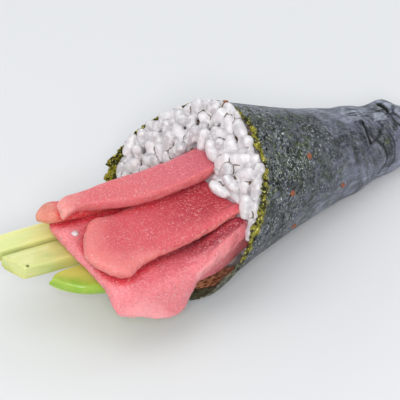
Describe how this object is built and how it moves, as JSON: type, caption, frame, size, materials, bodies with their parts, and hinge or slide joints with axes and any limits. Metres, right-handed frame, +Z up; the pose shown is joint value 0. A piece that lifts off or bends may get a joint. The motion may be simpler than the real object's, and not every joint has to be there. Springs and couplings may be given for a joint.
{
  "type": "tuna temaki hand roll",
  "caption": "Hand roll lying on its side: a seaweed cone packed with rice, with raw tuna slices, green batons and an avocado slice sticking out of its mouth",
  "frame": {"origin": "on the table, under the middle of the whole roll", "axes": "+X along the roll towards its closed tail, +Z up, the mouth towards -X"},
  "size_m": [0.1772, 0.0586, 0.0499],
  "materials": {
    "nori": "dry seaweed sheet, dull sheen",
    "rice": "cooked rice, moist",
    "tuna_top": "raw fish, moist",
    "tuna_middle": "raw fish, moist",
    "tuna_lower": "raw fish, moist",
    "tuna_back": "raw fish, moist",
    "baton_upper": "cut flesh, moist",
    "baton_lower": "cut flesh, moist",
    "avocado_slice": "cut flesh, moist"
  },
  "bodies": {
    "root": {"nori": "nori", "rice": "rice", "tuna_top": "tuna_top", "tuna_middle": "tuna_middle", "tuna_lower": "tuna_lower", "tuna_back": "tuna_back", "baton_upper": "baton_upper", "baton_lower": "baton_lower", "avocado_slice": "avocado_slice"}
  },
  "joints": []
}
